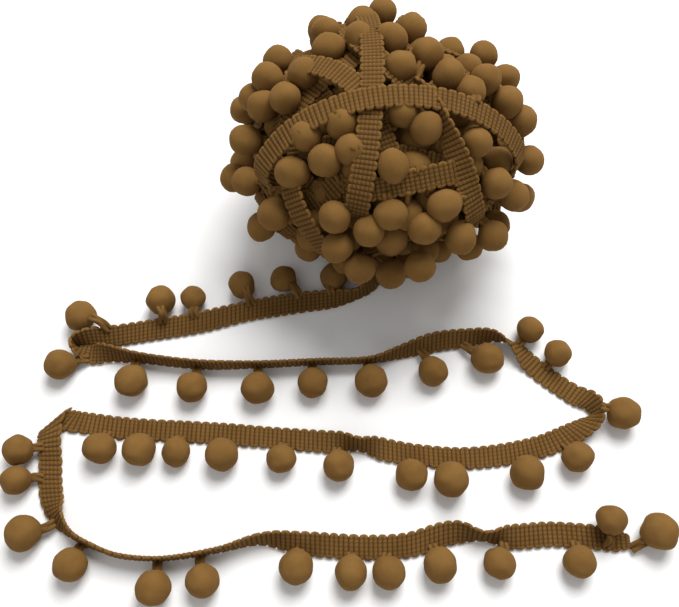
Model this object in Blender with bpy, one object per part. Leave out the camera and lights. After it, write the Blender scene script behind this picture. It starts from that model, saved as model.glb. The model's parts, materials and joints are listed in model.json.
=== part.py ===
"""Pom pom trim: a ball of wound trim, and the loose end that lies in four rows in front of it.

Units are metres and +Z is up. The origin is the middle of the ball's flat spot, on the surface
that the trim lies on. The loose end lies towards -Y.
"""

import math
from typing import NamedTuple

import bmesh
import bpy
import numpy as np
from mathutils import Matrix, Vector

MM = 0.001

# Tape
TAPE_WIDTH = 7.5 * MM
TAPE_THICKNESS = 1.3 * MM
LONGEST_STEP = 5.0 * MM
MOST_TURN = math.radians(24)
FINE_STEP = 0.25 * MM
SHORT_STEP = 1 / 3

# Pompoms and their necks of twisted yarn
NECK_RADIUS = 1.5 * MM
POMPOM_SIDES = 8
POMPOM_RINGS = 5
BALL_POMPOM_SIDES = 7
BALL_POMPOM_RINGS = 4
NECK_SPREAD = math.radians(8)
SHORTEST_NECK = 0.5 * MM
GAP = 0.35 * MM
SMALL_MOVE = 0.05 * MM
MOST_MOVES = 12
RIM_POINTS = 8
NEARLY_UPRIGHT = 0.1
WELD = 0.01 * MM

# Ball: semi-axes of its inner winding, of its outer wraps and of the middles of its pompoms
BALL_CENTRE = Vector((0, 0, 36 * MM))
CORE_AXES = Vector((44, 42, 31.5)) * MM
WRAP_AXES = Vector((49, 47, 36)) * MM
POMPOM_AXES = Vector((48, 46, 33)) * MM
BALL_POMPOM = 9.4 * MM
WRAP_DEPTH = 8.0 * MM
WRAP_SINK = 6.0 * MM
SINK_OVER = 20
WRAP_STEP = 8
FINE_WRAP_STEP = 4
FEWEST_SECTIONS = 3
CORE_FINENESS = 2
FLOOR_BLOCK = Vector((130, 130, 20)) * MM

# Necks of the ball's pompoms: how far in from a wrap's edge and how deep they start
ROOT_INSET = 0.4
ROOT_DEPTH = 2.0 * MM
LONGEST_NECK = 11.0 * MM

# Filling pompoms: points spread evenly over the ball, kept where they're clear of the rest
EVEN_TURN = math.pi * (3 - math.sqrt(5))
FILL_COUNT = 210
FILL_APART = 9.8 * MM
FILL_OFF_WRAP = 8.2 * MM
SEEN_FROM = Vector((-0.05, -0.5, 0.86))
SEEN_SHARE = 0.2
SEEN_DEEPER = 5.0 * MM

TRIM_COLOUR = (0.165, 0.090, 0.032, 1.0)


class Station(NamedTuple):
    """A place on the loose tape's middle line (mm) and the way its pompom edge points (degrees)."""

    x: float
    y: float
    bearing: float
    rise: float
    lift: float = 0.0


# Bearing is measured from +X towards +Y, rise is above the level, lift is off the surface.
TAPE_ROUTE = (
    # Off the ball's underside, then row 1 to the left
    Station(0, -13.6, 180, 0),
    Station(0, -22, 175, 0),
    Station(-1, -30, 165, 25),
    Station(-3.5, -36.5, 135, 70),
    Station(-9, -40.5, 100, 85),
    Station(-17, -42, 90, 50),
    Station(-28, -43, 90, 30),
    Station(-45.5, -46, 90, 25),
    Station(-62.5, -50.5, 90, 25),
    Station(-79.5, -53.5, 90, 20),
    Station(-93, -56, 95, 30),
    Station(-100.5, -57, 100, 60),
    # Upright turn, then row 2 to the right, standing on its pompom edge
    Station(-104.3, -58.8, 90, 90),
    Station(-103, -61.3, 270, 60),
    Station(-98.5, -62, 270, 0),
    Station(-92, -62.8, 270, -55),
    Station(-81.5, -64.5, 270, -84),
    Station(-61, -67, 270, -90),
    Station(-41, -67, 270, -98),
    Station(-21, -66, 270, -100),
    Station(-4, -65.3, 270, -98),
    Station(6, -62.5, 270, -75),
    Station(18, -58.5, 270, -45),
    Station(30, -57, 270, -52),
    Station(38, -56.5, 290, -82),
    Station(44.5, -59.5, 40, -50),
    Station(50, -65.5, 45, -5),
    Station(56, -71, 50, 0),
    Station(63, -76.5, 50, 5),
    Station(67.8, -80.2, 30, 45),
    # Pinched turn, then row 3 to the left
    Station(69, -83.8, 0, 65),
    Station(65.5, -87.3, -35, 30),
    Station(57, -91.5, -60, 0),
    Station(49.5, -94.3, -80, 0),
    Station(36.5, -97, -90, 0),
    Station(24, -98, -90, 0),
    Station(11, -97, -90, 0),
    Station(0, -95.5, -90, -15),
    Station(-8, -94.3, -90, -70),
    Station(-17, -93, -90, -15),
    Station(-33, -91.5, -90, 0),
    Station(-59, -89.5, -90, 0),
    Station(-85, -88, -90, 0),
    Station(-97, -86.3, -98, 0),
    # Folded over on the slant, then down the left side
    Station(-104.7, -85.4, -135, 0),
    Station(-106.5, -85.8, -135, 0, 1.0),
    Station(-106.9, -87.6, -135, 0, 2.0),
    Station(-106.6, -93, -170, 0, 2.0),
    Station(-105.7, -99, 180, 0, 0.4),
    Station(-104.8, -105, 180, 0),
    Station(-103, -111, 185, -10),
    Station(-99.5, -117.3, 215, -50),
    # Row 4 to the right, first on its pompom edge
    Station(-94, -122.3, 250, -80),
    Station(-87, -125.7, 270, -88),
    Station(-79, -128.3, 270, -92),
    Station(-66, -129, 270, -95),
    Station(-50, -126.5, 270, -92),
    Station(-38, -123.5, 270, -75),
    Station(-27, -124.3, 270, -35),
    Station(-8, -125.4, 270, -10),
    Station(6, -124.8, 270, -12),
    Station(20, -121.3, 270, -30),
    Station(29, -122.6, 270, -80),
    Station(38, -122.5, 270, -25),
    Station(50, -121.6, 270, -8),
    Station(62, -122.4, 270, -8),
    Station(73, -123.6, 270, -8),
)


class LoosePompom(NamedTuple):
    """A pompom of the loose end: its middle, its diameter and how far on its root is sewn (mm)."""

    x: float
    y: float
    diameter: float
    on: float = 0.0
    lift: float = 0.0


LOOSE_POMPOMS = (
    LoosePompom(-16.5, -35.5, 9.5),
    LoosePompom(-34, -35.5, 9.5, -5),
    LoosePompom(-48.5, -37, 9.5, -2),
    LoosePompom(-65, -43, 8.7),
    LoosePompom(-75.5, -46.6, 10.3),
    LoosePompom(-103, -49.5, 10.3, -7),
    LoosePompom(-105.5, -66.5, 10, 3),
    LoosePompom(-82.5, -73.5, 10.5),
    LoosePompom(-62.5, -75.5, 9.8),
    LoosePompom(-41, -76, 10.7),
    LoosePompom(-23, -74, 10.1),
    LoosePompom(-4, -73.5, 10.8),
    LoosePompom(16.5, -70, 9.9, -2),
    LoosePompom(35, -65.5, 10.3, -5),
    LoosePompom(50.5, -54.5, 9.2, -1),
    LoosePompom(58, -64, 9),
    LoosePompom(75.5, -84.5, 10.6, -1),
    LoosePompom(60, -98.5, 9.7),
    LoosePompom(43.5, -103, 10.8),
    LoosePompom(20, -105.5, 10.8),
    LoosePompom(8, -104, 9.9),
    LoosePompom(-14.5, -101.5, 9.6),
    LoosePompom(-32.5, -99, 9.1),
    LoosePompom(-51, -97.5, 10.3),
    LoosePompom(-65.5, -97, 9.1),
    LoosePompom(-77, -96.5, 10.3),
    LoosePompom(-89.5, -96, 10),
    LoosePompom(-113.5, -96, 9.7),
    LoosePompom(-114, -106, 9.2),
    LoosePompom(-108.5, -122, 10.1, 2),
    LoosePompom(-93, -131, 9.6),
    LoosePompom(-68, -137.5, 10.1),
    LoosePompom(-54, -135.5, 9.8),
    LoosePompom(-27, -131.5, 10),
    LoosePompom(-11, -132.5, 9.6),
    LoosePompom(0, -133, 9.6),
    LoosePompom(15, -131, 9.9),
    LoosePompom(32.5, -130.5, 9.1),
    LoosePompom(56, -130, 9.4),
    LoosePompom(66.5, -118.5, 9, 0, 2.2),
    LoosePompom(81, -121.5, 10.4, 4),
)


class Wrap(NamedTuple):
    """A turn of tape round the ball: the plane that it lies in and the part of it that's outermost.

    pole and tilt give the plane's normal (degrees), offset is how far the plane lies from the
    ball's middle (mm), start and end are measured round the turn from its highest place
    (degrees), and level is how far it lies over the other wraps (mm). The tape leans over on
    its edge by lean_start at first (degrees). That falls evenly to lean_end, and the tape lies
    flat once it is under zero.
    """

    name: str
    pole: float
    tilt: float
    offset: float
    start: float
    end: float
    level: float = 0.0
    lean_start: float = 0.0
    lean_end: float = 0.0


# The underside wrap starts where the loose end leaves the ball, and it makes the flat spot.
LEAD_WRAP = Wrap("underside", 0, 0, 0, 164, 262, 1.4)
WRAPS = (
    LEAD_WRAP,
    Wrap("arch", -86, 22, 25.5, -86, 86, 1.4),
    Wrap("upright", 179, 13, 12.5, -72, 150, 0.0),
    Wrap("top left", -140, 42, 32, -26, 62, -0.4),
    Wrap("right slope", 22, 10, 13, 8, 92, -0.8, 60, -40),
    Wrap("front level", 105, 42, -10, -34, 34, -2.0),
    Wrap("front short", 58, 60, 16, 90, 200, -2.4),
    Wrap("left slope", -43, 37, 10.5, 52, 142, -0.6),
    Wrap("under arch", 42, 44, 24, -100, 20, -2.6),
    Wrap("back level", 95, 60, 4, 98, 264, 0.0),
    Wrap("back slope", 60, 25, 14, 96, 292, -1.4),
    Wrap("back steep", 140, 8, 20, 46, 252, 0.6),
    Wrap("right girth", 15, 4, 36, 100, 292, -2.0),
    Wrap("left girth", 190, 5, 37, 54, 238, -0.4),
)


class Course(NamedTuple):
    """Pompoms at one height round the ball: height and azimuths (degrees), reach past it (mm)."""

    height: float
    reach: float
    azimuths: tuple


# Azimuth is measured from +X towards +Y, and height up from the ball's middle.
COURSES = (
    Course(85, 0, (21,)),
    Course(71, 0, (83, 35, -74)),
    Course(67, 0, (2, 116)),
    Course(62, 0, (143, -127, -61)),
    Course(58, 0, (-9, 171, 70)),
    Course(54, 0, (-113,)),
    Course(50, 0.5, (-172, 127, 103, 7, -88, -141)),
    Course(46, 0, (-38, -124)),
    Course(41, 2, (169, 90)),
    Course(37, 0, (-177, 0)),
    Course(34, 0, (150, -136)),
    Course(29, 0, (-89, 173, -67)),
    Course(24, 0, (-40, -111, -3)),
    Course(20, 0, (-169, -97, -76)),
    Course(8, 1, (-155, -33, -108, -62, -136, -14)),
    Course(-2, 3, (-164, -99, -48, -78)),
    Course(-14, 3, (-144, -20)),
    Course(-22, 1, (-87,)),
)
UNDER_COURSES = (
    Course(62, -5, (54, 25)),
    Course(48, -5, (-108, -75)),
    Course(38, -5, (-45, 8)),
    Course(24, -5, (-27, -81)),
    Course(8, -5, (-88, -120)),
)


def clear_scene():
    """Remove the objects that the scene starts with."""
    for thing in list(bpy.data.objects):
        bpy.data.objects.remove(thing, do_unlink=True)


def trim_material(name):
    """Matt brown yarn."""
    material = bpy.data.materials.new(name)
    material.use_nodes = True
    shader = material.node_tree.nodes["Principled BSDF"]
    shader.inputs["Base Color"].default_value = TRIM_COLOUR
    shader.inputs["Roughness"].default_value = 0.9
    shader.inputs["Metallic"].default_value = 0.0
    return material


def new_object(name, mesh_maker, helper=False):
    """Link an object made from a bmesh. A helper only shapes others, so no render shows it."""
    mesh = bpy.data.meshes.new(name)
    mesh_maker.to_mesh(mesh)
    mesh_maker.free()
    thing = bpy.data.objects.new(name, mesh)
    bpy.context.scene.collection.objects.link(thing)
    if helper:
        thing.hide_render = True
        thing.display_type = "WIRE"
    else:
        mesh.materials.append(trim_material(name + " yarn"))
    return thing


def from_angles(bearing, rise):
    """Unit vector for a bearing and a rise in degrees."""
    turn = math.radians(bearing)
    climb = math.radians(rise)
    return Vector((math.cos(climb) * math.cos(turn), math.cos(climb) * math.sin(turn), math.sin(climb)))


def smooth_through(points, step):
    """Points a step apart on a smooth curve through the given rows, spaced by their first three."""
    points = np.array(points, float)
    chords = np.linalg.norm(np.diff(points[:, :3], axis=0), axis=1)
    knots = np.concatenate(([0.0], np.cumsum(chords)))
    slopes = np.empty_like(points)
    slopes[1:-1] = (points[2:] - points[:-2]) / (knots[2:] - knots[:-2])[:, None]
    slopes[0] = (points[1] - points[0]) / chords[0]
    slopes[-1] = (points[-1] - points[-2]) / chords[-1]
    along = np.linspace(0.0, knots[-1], int(knots[-1] / step) + 1)
    piece = np.clip(np.searchsorted(knots, along, side="right") - 1, 0, len(chords) - 1)
    span = chords[piece][:, None]
    part = ((along - knots[piece]) / chords[piece])[:, None]
    return (
        points[piece] * (2 * part**3 - 3 * part**2 + 1)
        + points[piece + 1] * (3 * part**2 - 2 * part**3)
        + slopes[piece] * span * (part**3 - 2 * part**2 + part)
        + slopes[piece + 1] * span * (part**3 - part**2)
    )


class Section(NamedTuple):
    """A cut across a tape: its middle, its run, half its width towards the pompoms, its normal."""

    middle: Vector
    run: Vector
    half: Vector
    normal: Vector


def section_at(middle, run, edge):
    """The section whose pompom edge points along edge, kept a full tape's width square to the run."""
    run = run.normalized()
    normal = run.cross(edge).normalized()
    stretch = run.cross(edge.normalized()).length
    return Section(middle, run, edge.normalized() * (TAPE_WIDTH / 2 / stretch), normal)


def loose_sections():
    """Fine sections along the loose tape, each resting on the surface or lifted off it."""
    rows = []
    for place in TAPE_ROUTE:
        edge = from_angles(place.bearing, place.rise)
        rows.append((place.x * MM, place.y * MM, place.lift * MM, *edge))
    fine = smooth_through(rows, FINE_STEP)
    fine[:, 2] = np.maximum(fine[:, 2], 0.0)
    middles = [Vector(row[:3]) for row in fine]
    edges = [Vector(row[3:]).normalized() for row in fine]
    sections = []
    for index, (middle, edge) in enumerate(zip(middles, edges)):
        run = middles[min(index + 1, len(middles) - 1)] - middles[max(index - 1, 0)]
        flat = section_at(middle, run, edge)
        rest = abs(flat.half.z) + abs(flat.normal.z) * TAPE_THICKNESS / 2
        sections.append(flat._replace(middle=middle + Vector((0, 0, rest))))
    return sections


def corners_of(section):
    """A section's four corners, in order round it."""
    thick = section.normal * (TAPE_THICKNESS / 2)
    half = section.half
    around = (-half - thick, half - thick, half + thick, -half + thick)
    return [section.middle + corner for corner in around]


def spaced(sections, longest, most_turn):
    """Every section that's a step on from the last one kept, or has turned enough from it."""
    kept = [sections[0]]
    for section in sections[1:-1]:
        last = kept[-1]
        gone = (section.middle - last.middle).length
        turned = max(section.normal.angle(last.normal), section.half.angle(last.half))
        if gone >= longest or turned >= most_turn:
            kept.append(section)
    last_step = (sections[-1].middle - kept[-1].middle).length
    if last_step < longest * SHORT_STEP and len(kept) > 1:
        kept.pop()
    kept.append(sections[-1])
    return kept


def sweep(maker, corner_rings):
    """Extrude a four-cornered face from ring to ring, closed at both ends."""
    verts = [maker.verts.new(corner) for corner in corner_rings[0]]
    made = [maker.faces.new(verts)]
    for corners in corner_rings[1:]:
        fresh = [maker.verts.new(corner) for corner in corners]
        for side in range(4):
            after = (side + 1) % 4
            made.append(maker.faces.new((verts[side], verts[after], fresh[after], fresh[side])))
        verts = fresh
    made.append(maker.faces.new(verts))
    bmesh.ops.recalc_face_normals(maker, faces=made)


def build_loose_tape():
    """The loose end's tape, swept along its route."""
    maker = bmesh.new()
    sections = spaced(loose_sections(), LONGEST_STEP, MOST_TURN)
    sweep(maker, [corners_of(section) for section in sections])
    return new_object("tail_tape", maker)


def add_pompom(maker, root, centre, diameter, sides=POMPOM_SIDES, rings=POMPOM_RINGS):
    """A neck from the root and a ball round the centre, spun about the line between them.

    A root inside the ball gives a plain ball.
    """
    axis = centre - root
    reach = axis.length
    axis.normalize()
    side = axis.cross(Vector((0, 0, 1)))
    if side.length < NEARLY_UPRIGHT:
        side = axis.cross(Vector((1, 0, 0)))
    side.normalize()
    side = Matrix.Rotation(math.pi / sides, 3, axis) @ side
    radius = diameter / 2
    first_angle = math.asin(NECK_RADIUS / radius) + NECK_SPREAD
    neck_end = reach - radius * math.cos(first_angle)
    if neck_end > SHORTEST_NECK:
        profile = [(0.0, 0.0), (0.0, NECK_RADIUS), (neck_end, NECK_RADIUS)]
    else:
        profile = [(reach - radius, 0.0)]
        first_angle = 0.0
    for ring in range(1, rings):
        angle = first_angle + (math.pi - first_angle) * ring / rings
        profile.append((reach - radius * math.cos(angle), radius * math.sin(angle)))
    profile.append((reach + radius, 0.0))
    verts = [maker.verts.new(root + axis * along + side * out) for along, out in profile]
    edges = [maker.edges.new(pair) for pair in zip(verts, verts[1:])]
    bmesh.ops.spin(
        maker,
        geom=verts + edges,
        cent=root,
        axis=axis,
        angle=math.tau,
        steps=sides,
        use_merge=True,
        use_duplicate=False,
    )


def finish_pompoms(maker):
    """Weld the ends of the spun shapes and turn their faces out."""
    bmesh.ops.remove_doubles(maker, verts=maker.verts, dist=WELD)
    bmesh.ops.recalc_face_normals(maker, faces=maker.faces)


class Ribbon:
    """The loose tape's middle face, as lines across it, for measuring how far things lie from it."""

    def __init__(self, sections):
        self.middles = np.array([section.middle for section in sections])
        self.halves = np.array([section.half for section in sections])

    def nearest(self, point):
        """Distance to the tape's surface from a point, and the nearest point of its middle face."""
        offsets = np.array(point) - self.middles
        across = (offsets * self.halves).sum(axis=1) / (self.halves**2).sum(axis=1)
        on_face = self.middles + self.halves * np.clip(across, -1, 1)[:, None]
        distances = np.linalg.norm(np.array(point) - on_face, axis=1)
        index = int(distances.argmin())
        return distances[index] - TAPE_THICKNESS / 2, Vector(on_face[index])

    def edge_near(self, point, on):
        """The place of the pompom edge nearest to a point, or a distance further on along it."""
        edges = self.middles + self.halves
        index = int(np.linalg.norm(np.array(point) - edges, axis=1).argmin())
        return Vector(edges[min(max(index + round(on / FINE_STEP), 0), len(edges) - 1)])


def place_loose_pompom(ribbon, row):
    """Root and middle of a loose pompom, each moved off whatever tape it would touch."""
    radius = row.diameter * MM / 2
    centre = Vector((row.x * MM, row.y * MM, radius + row.lift * MM))
    for _ in range(MOST_MOVES):
        gap, on_face = ribbon.nearest(centre)
        if gap >= radius + GAP:
            break
        away = centre - on_face
        away.z = max(away.z, 0.0) if row.lift else 0.0
        centre += away.normalized() * (radius + GAP - gap + SMALL_MOVE)
    edge = ribbon.edge_near(centre, row.on * MM)
    axis = (centre - edge).normalized()
    side = axis.orthogonal().normalized() * NECK_RADIUS
    rim = [Matrix.Rotation(math.tau * turn / RIM_POINTS, 3, axis) @ side for turn in range(RIM_POINTS)]
    root = edge + axis * GAP
    while (centre - root).length > radius:
        if min(ribbon.nearest(root + out)[0] for out in rim) >= GAP:
            break
        root += axis * SMALL_MOVE
    return root, centre


def build_loose_pompoms():
    """One object for each pompom of the loose end, resting on the surface."""
    ribbon = Ribbon(loose_sections())
    for number, row in enumerate(LOOSE_POMPOMS, start=1):
        root, centre = place_loose_pompom(ribbon, row)
        maker = bmesh.new()
        add_pompom(maker, root, centre, row.diameter * MM)
        finish_pompoms(maker)
        for vert in maker.verts:
            vert.co.z = max(vert.co.z, 0.0)
        new_object(f"pom_{number:02d}", maker)


def scaled(axes, direction):
    """The direction's point on an ellipsoid with these semi-axes."""
    return Vector((axes.x * direction.x, axes.y * direction.y, axes.z * direction.z))


def wrap_sections(wrap, step=WRAP_STEP):
    """Sections round the outermost part of a wrap, sinking into the ball at its two ends."""
    level = wrap.level * MM
    axes = WRAP_AXES + Vector((level, level, level))
    normal = from_angles(wrap.pole, wrap.tilt)
    stretched = scaled(axes, normal)
    pole = stretched.normalized()
    share = wrap.offset * MM / stretched.length
    up = (Vector((0, 0, 1)) - pole * pole.z).normalized()
    side = pole.cross(up)
    middles = []
    count = max(FEWEST_SECTIONS, round((wrap.end - wrap.start) / step))
    turns = np.linspace(wrap.start, wrap.end, count)
    for degrees in turns:
        turn = math.radians(degrees)
        spot = pole * share + (up * math.cos(turn) + side * math.sin(turn)) * math.sqrt(1 - share**2)
        from_end = min(degrees - wrap.start, wrap.end - degrees) / SINK_OVER
        if wrap is LEAD_WRAP:
            from_end = (wrap.end - degrees) / SINK_OVER
        sunk = WRAP_SINK * (1 - min(1.0, from_end)) ** 2
        middles.append(scaled(axes - Vector((sunk, sunk, sunk)), spot))
    leans = np.linspace(wrap.lean_start, wrap.lean_end, len(middles))
    sections = []
    for index, middle in enumerate(middles):
        run = middles[min(index + 1, len(middles) - 1)] - middles[max(index - 1, 0)]
        out = Vector((middle.x / axes.x**2, middle.y / axes.y**2, middle.z / axes.z**2))
        lean = Matrix.Rotation(math.radians(max(leans[index], 0.0)), 3, run.normalized())
        sections.append(section_at(BALL_CENTRE + middle, run, lean @ out.cross(run)))
    return sections


def build_wraps():
    """The wraps as ridges that stand on the ball's inner winding."""
    maker = bmesh.new()
    for wrap in WRAPS:
        rings = []
        for section in wrap_sections(wrap):
            thick = section.normal * (TAPE_THICKNESS / 2)
            half = section.half
            inward = (BALL_CENTRE - section.middle).normalized()
            corners = [thick + half, thick - half, -thick - half, -thick + half]
            depths = [corner.dot(inward) for corner in corners]
            low, high = min(depths), max(depths)
            rings.append([
                section.middle + corner + inward * (WRAP_DEPTH * (depth - low) / (high - low))
                for corner, depth in zip(corners, depths)
            ])
        sweep(maker, rings)
    return new_object("ball wraps", maker, helper=True)


def ball_pompom_centres():
    """Middles of the pompoms that stand out of the ball, clear of the surface that it lies on."""
    radius = BALL_POMPOM / 2
    wrap_lines = [section.middle for wrap in WRAPS for section in wrap_sections(wrap, FINE_WRAP_STEP)]
    ribbon = Ribbon(loose_sections())
    centres = []

    def add(direction, reach):
        spot = BALL_CENTRE + scaled(POMPOM_AXES + Vector((reach, reach, reach)), direction)
        spot.z = max(spot.z, radius + GAP)
        centres.append(spot)

    for course in COURSES + UNDER_COURSES:
        for azimuth in course.azimuths:
            add(from_angles(azimuth, course.height), course.reach * MM)
    for index in range(FILL_COUNT):
        height = 1 - 2 * (index + 0.5) / FILL_COUNT
        level = math.sqrt(1 - height**2)
        turn = EVEN_TURN * index
        direction = Vector((level * math.cos(turn), level * math.sin(turn), height))
        reach = -SEEN_DEEPER if direction.dot(SEEN_FROM) > SEEN_SHARE else 0.0
        spot = BALL_CENTRE + scaled(POMPOM_AXES + Vector((reach, reach, reach)), direction)
        if spot.z < radius:
            continue
        apart = min((spot - other).length for other in centres)
        off_wrap = min((spot - place).length for place in wrap_lines)
        off_tape = ribbon.nearest(spot)[0]
        if apart > FILL_APART and off_wrap > FILL_OFF_WRAP and off_tape > radius + 2 * GAP:
            add(direction, reach)
    return centres


def ball_pompom_root(centre, wraps):
    """A place inside the nearest wrap's edge, or inside the winding below where no wrap is near."""
    best = None
    for section in wraps:
        for edge in (section.middle - section.half, section.middle + section.half):
            distance = (centre - edge).length
            if best is None or distance < best[0]:
                inner = edge + (section.middle - edge) * ROOT_INSET
                best = (distance, inner + (BALL_CENTRE - inner).normalized() * ROOT_DEPTH)
    if best[0] < LONGEST_NECK:
        return best[1]
    return centre + (BALL_CENTRE - centre).normalized() * LONGEST_NECK


def build_ball_pompoms():
    """The pompoms of the ball's outer layer, with their necks run into the winding."""
    wraps = [section for wrap in WRAPS for section in wrap_sections(wrap, FINE_WRAP_STEP)]
    maker = bmesh.new()
    for centre in ball_pompom_centres():
        root = ball_pompom_root(centre, wraps)
        add_pompom(maker, root, centre, BALL_POMPOM, BALL_POMPOM_SIDES, BALL_POMPOM_RINGS)
    finish_pompoms(maker)
    return new_object("ball pompoms", maker, helper=True)


def build_floor_block():
    """The block that presses the small flat spot under the ball."""
    maker = bmesh.new()
    bmesh.ops.create_cube(maker, size=1.0)
    bmesh.ops.scale(maker, vec=FLOOR_BLOCK, verts=maker.verts)
    bmesh.ops.translate(maker, vec=(0, 0, -FLOOR_BLOCK.z / 2), verts=maker.verts)
    return new_object("floor block", maker, helper=True)


def join(thing, other, operation, name, overlapping=False):
    """Add a Boolean that joins or cuts with another object."""
    modifier = thing.modifiers.new(name, "BOOLEAN")
    modifier.operation = operation
    modifier.object = other
    modifier.solver = "EXACT"
    modifier.use_self = overlapping
    return modifier


def shells_of(maker):
    """The faces of each separate shell of a mesh."""
    left = set(maker.faces)
    shells = []
    while left:
        shell = set()
        reached = [left.pop()]
        while reached:
            face = reached.pop()
            shell.add(face)
            for edge in face.edges:
                for other in edge.link_faces:
                    if other in left:
                        left.remove(other)
                        reached.append(other)
        shells.append(shell)
    return shells


def fill_pockets(thing):
    """Apply the Booleans and keep only the outer shell, so that no pocket is sealed inside."""
    seen = thing.evaluated_get(bpy.context.evaluated_depsgraph_get())
    maker = bmesh.new()
    maker.from_mesh(seen.to_mesh())
    seen.to_mesh_clear()
    shells = sorted(shells_of(maker), key=len)
    pockets = [face for shell in shells[:-1] for face in shell]
    bmesh.ops.delete(maker, geom=pockets, context="FACES")
    maker.to_mesh(thing.data)
    maker.free()
    thing.modifiers.clear()


def build_ball():
    """The wound ball as one solid: inner winding, wraps, pompoms and the flat spot."""
    maker = bmesh.new()
    bmesh.ops.create_icosphere(maker, subdivisions=CORE_FINENESS, radius=1.0)
    bmesh.ops.scale(maker, vec=CORE_AXES, verts=maker.verts)
    bmesh.ops.translate(maker, vec=BALL_CENTRE, verts=maker.verts)
    ball = new_object("wound_ball", maker)
    join(ball, build_wraps(), "UNION", "wraps", overlapping=True)
    join(ball, build_ball_pompoms(), "UNION", "pompoms", overlapping=True)
    join(ball, build_floor_block(), "DIFFERENCE", "flat spot")
    fill_pockets(ball)
    return ball


def main():
    """Build the whole trim."""
    clear_scene()
    build_ball()
    build_loose_tape()
    build_loose_pompoms()


main()
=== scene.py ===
"""Looks of the pom pom trim: a ball of ribbed tape and felted pompoms, and its loose end.

Lengths are in metres and +Z is up. The tables of places are in millimetres and are scaled once,
where they are read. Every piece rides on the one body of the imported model.
"""

import json
import logging
import math
from dataclasses import dataclass, field
from enum import Enum
from typing import NamedTuple

import bmesh
import bpy
import numpy as np
from mathutils import Matrix, Vector, noise

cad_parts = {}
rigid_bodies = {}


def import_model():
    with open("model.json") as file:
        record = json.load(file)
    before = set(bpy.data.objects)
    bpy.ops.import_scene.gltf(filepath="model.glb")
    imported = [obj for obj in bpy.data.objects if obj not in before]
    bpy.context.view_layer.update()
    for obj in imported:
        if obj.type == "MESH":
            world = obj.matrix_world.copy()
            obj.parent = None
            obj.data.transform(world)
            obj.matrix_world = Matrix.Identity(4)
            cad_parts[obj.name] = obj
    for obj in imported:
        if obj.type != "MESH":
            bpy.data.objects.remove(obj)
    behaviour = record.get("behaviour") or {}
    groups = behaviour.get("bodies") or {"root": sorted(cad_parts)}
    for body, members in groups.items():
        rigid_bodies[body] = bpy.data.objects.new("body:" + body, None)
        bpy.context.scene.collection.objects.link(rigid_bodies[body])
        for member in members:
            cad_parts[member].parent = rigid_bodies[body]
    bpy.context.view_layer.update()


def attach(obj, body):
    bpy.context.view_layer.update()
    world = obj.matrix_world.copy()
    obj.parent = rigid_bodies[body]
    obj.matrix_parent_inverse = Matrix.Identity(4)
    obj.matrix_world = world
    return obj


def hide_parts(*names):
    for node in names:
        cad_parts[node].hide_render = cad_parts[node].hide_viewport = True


for leftover in list(bpy.data.objects):
    bpy.data.objects.remove(leftover, do_unlink=True)

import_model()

LOG = logging.getLogger("pom pom trim")
BODY = "root"
MM = 0.001
Colour = tuple[float, float, float]

TAPE_WIDTH = 7.5 * MM
TAPE_THICKNESS = 1.3 * MM
FINE_STEP = 0.25 * MM
TINY = 0.001 * MM
NEARLY_UPRIGHT = 0.2
BALL_CENTRE = Vector((0, 0, 36 * MM))


class Station(NamedTuple):
    """A place on the loose tape's middle line (mm) and the way its pompom edge points (degrees)."""

    x: float
    y: float
    bearing: float
    rise: float
    lift: float = 0.0


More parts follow.
